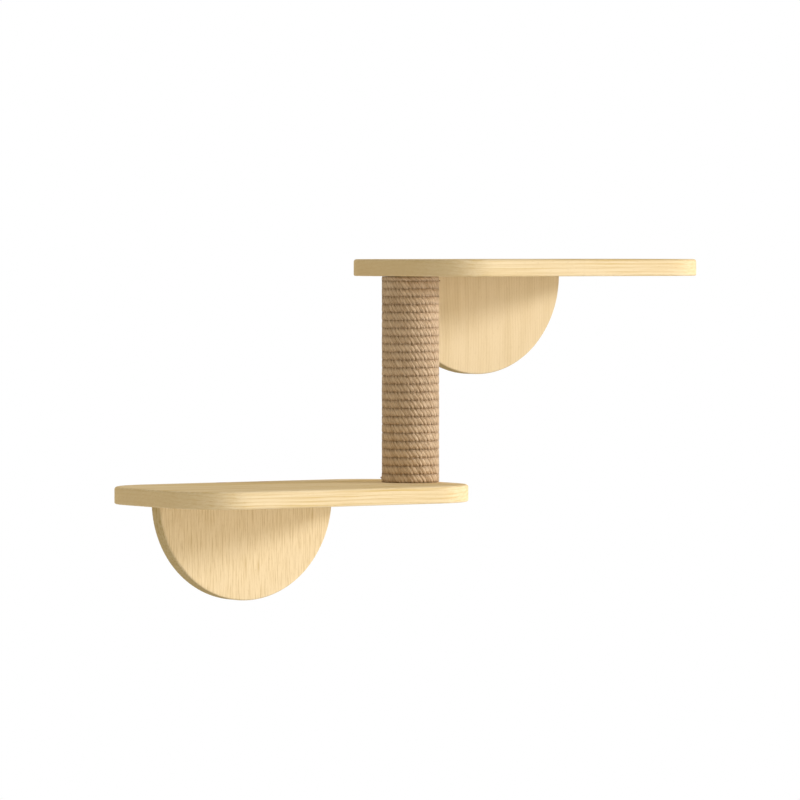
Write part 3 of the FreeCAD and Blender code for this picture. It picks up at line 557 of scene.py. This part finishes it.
class Strand:
    """One strand of the rope: where its centre runs and how its section lies."""

    def __init__(self, line, index, chance):
        self.middle, self.out, self.up, self.tall = line
        lengths = np.linalg.norm(np.diff(self.middle, axis=0), axis=1)
        run = np.concatenate(((0,), np.cumsum(lengths)))
        turn = math.tau * (run / ROPE_LAY + index / ROPE_STRANDS)
        self.radial = np.cos(turn)[:, None] * self.out - np.sin(turn)[:, None] * self.up
        self.centre = self.middle + self.radial * (ROPE_DIAMETER - STRAND_THICKNESS) / 2
        ahead = np.gradient(self.centre, axis=0)
        self.run = np.concatenate(((0,), np.cumsum(np.linalg.norm(ahead[1:], axis=1))))
        sideways = np.cross(ahead, self.radial)
        self.sideways = sideways / np.linalg.norm(sideways, axis=1)[:, None]
        waves = [np.sin(run / length + chance.uniform(*STRAND_WAVE_PHASES)) for length in STRAND_WAVES]
        self.fullness = 1 + STRAND_SWELL * sum(waves)

    def offsets(self, step, spot):
        """How far points lie outwards and upwards from the rope's middle at these steps."""
        away = spot - self.middle[step]
        return (away * self.out[step]).sum(1), (away * self.up[step]).sum(1)

    def surface(self, step, angle, lift=0.0):
        """Points on the strand at these steps and section angles, pressed to the rope's shape."""
        full = self.fullness[step]
        tall = (STRAND_THICKNESS / 2 * full + lift) * np.cos(angle)
        wide = (STRAND_WIDTH / 2 * full + lift) * np.sin(angle)
        spot = self.centre[step] + tall[:, None] * self.radial[step] + wide[:, None] * self.sideways[step]
        out, up = self.offsets(step, spot)
        reach, press = squared_reach(out, up)
        press = press * (reach / ROPE_RADIUS) ** (ROPE_HOLLOWS - 1)
        rise = up * (press * ROPE_PRESS * self.tall[step] - 1)
        return spot + (out * (press - 1))[:, None] * self.out[step] + rise[:, None] * self.up[step]

    def painted_groove_shade(self, step, spot):
        """How deep a point lies between two strands or two turns, from 0 to 1, as the share of painted
        shade it gets.
        """
        out, up = self.offsets(step, spot)
        up = np.abs(up) / self.tall[step] / ROPE_PRESS
        reach, face = squared_reach(out, up)
        hollow = (1 - reach / (face * ROPE_RADIUS)) / STRAND_GROOVE_DEPTH
        beside = np.clip((up / ROPE_RADIUS - TURN_GROOVE_FROM) / TURN_GROOVE_SPAN, 0, 1)
        return np.clip(hollow + TURN_GROOVE_STRENGTH * beside, 0, 1) ** GROOVE_SHARPNESS

    def chart(self, index, sides):
        """Places along and across the strand for each corner of its faces, in metres.

        The corners follow tube_faces, and those of the two caps, three to each triangle, lie
        at zero.
        """
        ring, side = np.meshgrid(np.arange(len(self.run) - 1), np.arange(sides), indexing="ij")
        corners = []
        for far, right in ((0, 0), (0, 1), (1, 1), (1, 0)):
            along = self.run[ring + far]
            across = index + (side + right) / sides
            corners.append(np.stack((along, across * math.pi * STRAND_WIDTH), -1).reshape(-1, 2))
        cap_corners = np.zeros((2 * 3 * sides, 2))
        return np.concatenate((np.stack(corners, 1).reshape(-1, 2), cap_corners))


def tube_faces(rings, sides, first):
    """Quads round a tube of rings, counted from its first vertex."""
    ring, side = np.meshgrid(np.arange(rings - 1), np.arange(sides), indexing="ij")
    here, onward = ring * sides + side, ring * sides + (side + 1) % sides
    quads = np.stack((here, onward, onward + sides, here + sides), -1).reshape(-1, 4) + first
    return quads.tolist()


def cap_faces(sides, first, tip, flip):
    """Triangles that join a tube's end ring to its tip."""
    faces = [(first + side, first + (side + 1) % sides, tip) for side in range(sides)]
    return [face[::-1] for face in faces] if flip else faces


def new_piece(name, vertices, faces, material):
    """A smooth mesh in the scene, with its finish."""
    mesh = bpy.data.meshes.new(name)
    mesh.from_pydata(np.concatenate(vertices).tolist(), [], faces)
    mesh.polygons.foreach_set("use_smooth", [True] * len(mesh.polygons))
    mesh.materials.append(material)
    mesh.update()
    piece = bpy.data.objects.new(name, mesh)
    bpy.context.scene.collection.objects.link(piece)
    return piece


def make_rope(strands):
    """The winding: every strand as a full tube along its own path."""
    sides = STRAND_SIDES
    angles = math.pi + np.arange(sides) * math.tau / sides
    angles -= STRAND_CROWDING * np.sin(angles)
    vertices, faces, painted_groove_shades, charts = [], [], [], []
    for index, strand in enumerate(strands):
        count = len(strand.run)
        step = np.repeat(np.arange(count), sides)
        spots = strand.surface(step, np.tile(angles, count))
        tips = np.stack((strand.centre[0], strand.centre[-1]))
        first = sum(len(part) for part in vertices)
        tail_tip = first + count * sides
        vertices += [spots, tips]
        painted_groove_shades += [strand.painted_groove_shade(step, spots), np.zeros(len(tips))]
        charts.append(strand.chart(index, sides))
        faces += tube_faces(count, sides, first)
        faces += cap_faces(sides, first, tail_tip, True)
        faces += cap_faces(sides, tail_tip - sides, tail_tip + 1, False)
    piece = new_piece("sisal_winding", vertices, faces, sisal("sisal"))
    chart = piece.data.uv_layers.new(name="strand")
    chart.data.foreach_set("uv", np.concatenate(charts).astype(np.float32).ravel())
    # Painted shade: how much each point is darkened in the rope's grooves.
    depth = piece.data.attributes.new("painted_groove_shade", "FLOAT", "POINT")
    depth.data.foreach_set("value", np.concatenate(painted_groove_shades).astype(np.float32))
    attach(piece, "root")
    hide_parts("sisal_rope")


def make_fibres(strands, chance):
    """Fine fibres that have worked loose from the rope's outer face."""
    vertices, faces = [], []
    ring_angles = np.arange(FIBRE_SIDES) * math.tau / FIBRE_SIDES
    outer, aside = np.cos(ring_angles)[:, None], np.sin(ring_angles)[:, None]
    grown = np.linspace(0, 1, FIBRE_RINGS)
    made = 0
    while made < FIBRE_COUNT:
        strand = chance.choice(strands)
        span = chance.uniform(*FIBRE_LENGTHS) / ROPE_STEP
        start = chance.uniform(0, len(strand.run) - span - 2)
        lean = chance.uniform(-FIBRE_LEAN, FIBRE_LEAN)
        step = (start + np.linspace(0, span, FIBRE_RINGS)).astype(int)
        angle = chance.gauss(0, FIBRE_SPREAD) + lean * grown
        if strand.radial[step[0]] @ strand.out[step[0]] < FIBRE_FACING:
            continue
        lift = chance.uniform(*FIBRE_LIFTS) * grown ** chance.uniform(*FIBRE_CURLS)
        radius = chance.uniform(*FIBRE_RADII) * np.linspace(1, FIBRE_TAPER, FIBRE_RINGS)
        line = strand.surface(step, angle, lift)
        for spot, place, size in zip(line, step, radius):
            vertices.append(spot + size * (outer * strand.radial[place] + aside * strand.sideways[place]))
        first = made * FIBRE_RINGS * FIBRE_SIDES
        last = first + (FIBRE_RINGS - 1) * FIBRE_SIDES
        faces += tube_faces(FIBRE_RINGS, FIBRE_SIDES, first)
        faces.append(tuple(reversed(range(first, first + FIBRE_SIDES))))
        faces.append(tuple(range(last, last + FIBRE_SIDES)))
        made += 1
    piece = new_piece("sisal_fibres", vertices, faces, loose_fibre("fibre"))
    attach(piece, "root")


def dress(nodes, material):
    """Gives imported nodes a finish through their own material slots."""
    for name in nodes:
        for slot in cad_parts[name].material_slots:
            slot.material = material


def both(text):
    """A node's name on each of the two steps."""
    return [text.format(level) for level in LEVELS]


def toned(tones, tone_and_shade):
    """Colours made lighter or darker alike."""
    return [tuple(tone_and_shade * share for share in each) for each in tones]


def finish_boards():
    """The two boards, with their grain along the wall."""
    for level, looks in BOARD_LOOKS.items():
        board = centre(f"{level}_shelf_board") / MM
        pith = (board[1] + looks["pith_aside"], board[2] - BOARD_PITH_BELOW)
        tones = toned(BOARD_PINE, looks["tone_and_shade"])
        pine = wood(f"pine_{level}_board", tones, "XYZ", pith, spacing=3.4, seed=looks["seed"],
                    ring_strength=looks["rings"], streaks=looks["streaks"], wander=7.0)
        dress([f"{level}_shelf_board"], pine)


def finish_plates():
    """The two wall plates, with their grain upright, a darker rim, and the upper one darkened as painted
    shade.
    """
    for level, looks in PLATE_LOOKS.items():
        plate = centre(f"{level}_wall_plate") / MM
        pith = (plate[0] + PLATE_PITH_ASIDE[0], plate[1] + PLATE_PITH_ASIDE[1])
        tones = toned(PLATE_PINE, looks["tone_and_shade"])
        pine = wood(f"pine_{level}_plate", tones, "ZXY", pith, spacing=2.7, seed=looks["seed"],
                    ring_strength=0.5, streaks=looks["streaks"], rim=PLATE_RIM)
        dress([f"{level}_wall_plate"], pine)


def finish_fittings():
    """The caps, the pieces inside, the metal and the paper tube."""
    caps = wood("cap_wood", BEECH, "XYZ", pith=(0, -60), spacing=1.6, seed=5)
    dress(both("{}_screw_caps"), caps)
    beech = wood("hardwood", BEECH, "YXZ", pith=(40, -80), spacing=1.4, seed=9, ring_strength=0.7)
    dress(both("{}_shelf_dowels") + both("{}_post_plug"), beech)
    hangers = both("{}_left_hanger") + both("{}_right_hanger")
    screws = both("{}_shelf_screws") + both("{}_hanger_screws")
    dress(hangers + screws, metal("zinc_steel", (0.56, 0.57, 0.58), rough=0.36, brushed=0.05))
    dress(["rope_end_staples"], metal("coppered_wire", (0.50, 0.34, 0.20), rough=0.4, brushed=0.04))
    dress(both("{}_post_bolt"), metal("bolt_steel", (0.42, 0.41, 0.39), rough=0.48, brushed=0.03))
    insert = metal("insert_zinc", (0.46, 0.47, 0.49), rough=0.48, brushed=0.02)
    dress(both("{}_threaded_insert"), insert)
    dress(["post_core_tube"], kraft_paper("kraft_tube", "post_core_tube"))


def make_floor():
    """A pale floor that runs out into the white background away from the object.

    Only the camera and rays that are mirrored or pass through a surface see the white.
    """
    low, high = cad_box
    mesh = bpy.data.meshes.new("floor")
    reach = FLOOR_SPAN / 2
    middle = (low + high) / 2
    ground = low.z - FLOOR_DROP
    corners = [(middle.x + x * reach, middle.y + y * reach, ground) for x, y in FLOOR_CORNERS]
    mesh.from_pydata(corners, [], [(0, 1, 2, 3)])
    floor = bpy.data.objects.new("floor", mesh)
    bpy.context.scene.collection.objects.link(floor)
    finish = Finish("floor_paint", {"Roughness": 0.85, "Specular IOR Level": 0.2})
    spot = finish.place("XYZ", (-middle.x / MM, -middle.y / MM, -ground / MM))
    mottle = finish.noise(spot, scale=0.02, detail=3).outputs["Fac"]
    darker = tuple(FLOOR_MOTTLE * share for share in FLOOR_SHADE)
    finish.drive("Base Color", finish.mix(mottle, darker, FLOOR_SHADE))
    away = finish.node("ShaderNodeVectorMath", spot, operation="LENGTH").outputs["Value"]
    clear = finish.node("ShaderNodeMapRange", away, interpolation_type="SMOOTHSTEP")
    clear.inputs["From Min"].default_value = FLOOR_CLEAR_FROM / MM
    clear.inputs["From Max"].default_value = FLOOR_CLEAR_TO / MM
    clear.inputs["To Min"].default_value = FLOOR_PALENESS
    rays = finish.node("ShaderNodeLightPath").outputs
    mirrored = finish.math("MAXIMUM", rays["Is Glossy Ray"], rays["Is Transmission Ray"])
    seen = finish.math("MAXIMUM", rays["Is Camera Ray"], mirrored)
    amount = finish.math("MULTIPLY", clear.outputs[0], seen)
    white = finish.node("ShaderNodeEmission", WHITE, 1.0)
    join = finish.node("ShaderNodeMixShader", amount, finish.shader.outputs[0], white.outputs[0])
    finish.tree.links.new(join.outputs[0], finish.tree.nodes["Material Output"].inputs["Surface"])
    mesh.materials.append(finish.material)


def make_world():
    """The studio's ambience, white to the camera and to what mirrors or passes light."""
    world = bpy.data.worlds.new("studio")
    bpy.context.scene.world = world
    world.use_nodes = True
    tree = world.node_tree
    tree.nodes.clear()
    ambient = tree.nodes.new("ShaderNodeBackground")
    ambient.inputs["Color"].default_value = AMBIENT_TINT + (1,)
    sky = tree.nodes.new("ShaderNodeTexCoord")
    height = tree.nodes.new("ShaderNodeSeparateXYZ")
    level = tree.nodes.new("ShaderNodeMapRange")
    level.inputs["From Min"].default_value = -1
    level.inputs["To Min"].default_value = AMBIENT_BELOW
    level.inputs["To Max"].default_value = AMBIENT_ABOVE
    tree.links.new(sky.outputs["Generated"], height.inputs[0])
    tree.links.new(height.outputs["Z"], level.inputs["Value"])
    tree.links.new(level.outputs[0], ambient.inputs["Strength"])
    white = tree.nodes.new("ShaderNodeBackground")
    white.inputs["Color"].default_value = WHITE
    white.inputs["Strength"].default_value = 1.0
    rays = tree.nodes.new("ShaderNodeLightPath")
    seen = rays.outputs["Is Camera Ray"]
    for name in ("Is Glossy Ray", "Is Transmission Ray"):
        either = tree.nodes.new("ShaderNodeMath")
        either.operation = "MAXIMUM"
        tree.links.new(seen, either.inputs[0])
        tree.links.new(rays.outputs[name], either.inputs[1])
        seen = either.outputs[0]
    mix = tree.nodes.new("ShaderNodeMixShader")
    tree.links.new(seen, mix.inputs[0])
    tree.links.new(ambient.outputs[0], mix.inputs[1])
    tree.links.new(white.outputs[0], mix.inputs[2])
    output = tree.nodes.new("ShaderNodeOutputWorld")
    tree.links.new(mix.outputs[0], output.inputs["Surface"])


def make_lamp(name, towards, distance, width, power, tint):
    """A square soft light that faces the object's middle."""
    lamp = bpy.data.lights.new(name, "AREA")
    lamp.color = tint
    lamp.shape = "SQUARE"
    lamp.size = width
    lamp.energy = power
    made = bpy.data.objects.new(name, lamp)
    bpy.context.scene.collection.objects.link(made)
    middle = (cad_box[0] + cad_box[1]) / 2
    made.location = np.array(middle) + direction(towards) * distance
    made.rotation_euler = (middle - made.location).to_track_quat("-Z", "Y").to_euler()


def make_camera():
    """The photograph's camera."""
    camera = bpy.data.cameras.new("camera")
    camera.sensor_width = SENSOR_WIDTH
    camera.lens = FOCAL_PIXELS * SENSOR_WIDTH / FRAME_PIXELS
    camera.clip_start = CAMERA_NEAR
    camera.clip_end = CAMERA_FAR
    made = bpy.data.objects.new("camera", camera)
    bpy.context.scene.collection.objects.link(made)
    made.location = CAMERA_PLACE
    made.rotation_euler = [math.radians(angle) for angle in (90 - CAMERA_PITCH, 0, -CAMERA_YAW)]
    bpy.context.scene.camera = made


chance = random.Random(SEED)
line = winding_line()
strands = [Strand(line, index, chance) for index in range(ROPE_STRANDS)]
make_rope(strands)
make_fibres(strands, chance)
finish_boards()
finish_plates()
finish_fittings()
make_floor()
make_world()
make_lamp("key", KEY_TOWARDS, KEY_DISTANCE, KEY_WIDTH, KEY_POWER, KEY_TINT)
make_lamp("fill", FILL_TOWARDS, FILL_DISTANCE, FILL_WIDTH, FILL_POWER, FILL_TINT)
make_lamp("left", LEFT_TOWARDS, FILL_DISTANCE, FILL_WIDTH, LEFT_POWER, LEFT_TINT)
make_lamp("back", BACK_TOWARDS, FILL_DISTANCE, FILL_WIDTH, BACK_POWER, FILL_TINT)
make_camera()
bpy.context.scene.view_settings.view_transform = "Standard"
